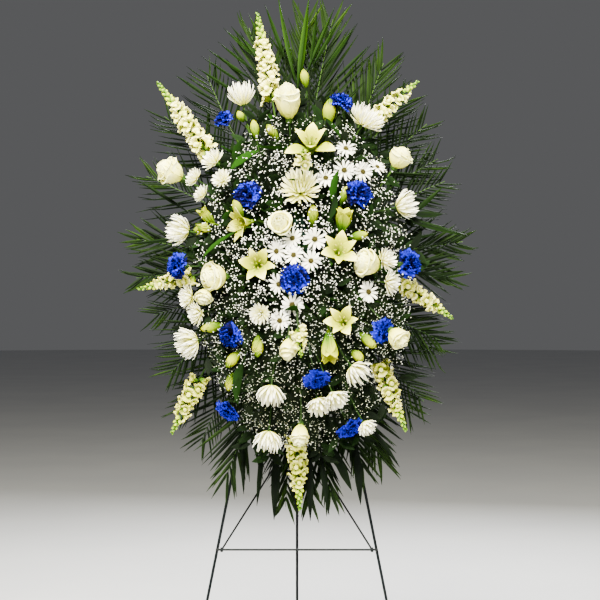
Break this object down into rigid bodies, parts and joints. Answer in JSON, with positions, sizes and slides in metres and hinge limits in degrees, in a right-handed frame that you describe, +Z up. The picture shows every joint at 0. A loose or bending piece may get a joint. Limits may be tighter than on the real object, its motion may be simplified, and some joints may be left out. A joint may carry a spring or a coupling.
{
  "type": "standing funeral spray",
  "caption": "Oval standing funeral spray of roses, carnations, lilies, chrysanthemums, snapdragons, baby's breath and palm fronds on a folding wire easel.",
  "frame": {"origin": "on the floor, under the middle of the whole object's box", "axes": "+Z up, -Y the front that the flowers face, +X to the right as seen from the front"},
  "size_m": [0.8599, 0.4717, 1.9224],
  "materials": {
    "easel_enamel": "semi-gloss dark enamel",
    "tie_wire": "satin green enamel",
    "wet_floral_foam": "matt, wet",
    "cage_plastic": "satin",
    "palm_leaf": "waxy",
    "carnation_petal": "matt",
    "rose_petal": "matt, velvety",
    "chrysanthemum_petal": "matt",
    "daisy_petal": "matt",
    "lily_petal": "waxy",
    "snapdragon_petal": "matt",
    "babys_breath_floret": "matt"
  },
  "bodies": {
    "spray": {"babys_breath_lower_left": "babys_breath_floret", "babys_breath_lower_right": "babys_breath_floret", "babys_breath_upper_left": "babys_breath_floret", "babys_breath_upper_right": "babys_breath_floret", "carnations_lower_left": "carnation_petal", "carnations_lower_right": "carnation_petal", "carnations_upper_left": "carnation_petal", "carnations_upper_right": "carnation_petal", "daisies_centre": "daisy_petal", "daisies_right": "daisy_petal", "floral_foam": "wet_floral_foam", "foam_cage": "cage_plastic", "front_leg_left": "easel_enamel", "front_leg_right": "easel_enamel", "hinge_bar": "easel_enamel", "lilies_left": "lily_petal", "lilies_right": "lily_petal", "lilies_top": "lily_petal", "lily_buds_lower_left": "lily_petal", "lower_crossbar": "easel_enamel", "lower_tie": "tie_wire", "middle_crossbar": "easel_enamel", "mums_bottom": "chrysanthemum_petal", "mums_left": "chrysanthemum_petal", "mums_right": "chrysanthemum_petal", "mums_upper_left": "chrysanthemum_petal", "mums_upper_right": "chrysanthemum_petal", "palm_frond_bottom": "palm_leaf", "palm_frond_bottom_left": "palm_leaf", "palm_frond_bottom_right": "palm_leaf", "palm_frond_left": "palm_leaf", "palm_frond_left_lower": "palm_leaf", "palm_frond_lower_left": "palm_leaf", "palm_frond_lower_right": "palm_leaf", "palm_frond_right": "palm_leaf", "palm_frond_right_down": "palm_leaf", "palm_frond_right_lower": "palm_leaf", "palm_frond_right_upper": "palm_leaf", "palm_frond_top_left": "palm_leaf", "palm_frond_top_right": "palm_leaf", "palm_frond_upper_left": "palm_leaf", "palm_frond_upper_right": "palm_leaf", "roses_lower_left": "rose_petal", "roses_right": "rose_petal", "roses_upper_left": "rose_petal", "snapdragon_bottom": "snapdragon_petal", "snapdragon_left": "snapdragon_petal", "snapdragon_low": "snapdragon_petal", "snapdragon_lower_left": "snapdragon_petal", "snapdragon_lower_right": "snapdragon_petal", "snapdragon_middle": "snapdragon_petal", "snapdragon_right": "snapdragon_petal", "snapdragon_top": "snapdragon_petal", "snapdragon_upper_left": "snapdragon_petal", "snapdragon_upper_right": "snapdragon_petal", "upper_crossbar": "easel_enamel", "upper_tie": "tie_wire"},
    "back_leg": {"back_leg": "easel_enamel"},
    "stay": {"stay_arm_left": "easel_enamel", "stay_arm_right": "easel_enamel"}
  },
  "joints": [
    {"name": "back_leg_hinge", "type": "hinge", "parent": "spray", "child": "back_leg", "pos_m": [0, 0.10185, 1.49196], "axis": [-1, 0, 0], "range_deg": [0, 14.24]},
    {"name": "stay_hinge", "type": "hinge", "parent": "spray", "child": "stay", "pos_m": [0, -0.07232, 0.57393], "axis": [1, 0, 0], "range_deg": [0, 29.05]}
  ],
  "couplings": [
    {"joint": "stay_hinge", "follows": "back_leg_hinge", "ratio": 2.0397}
  ]
}
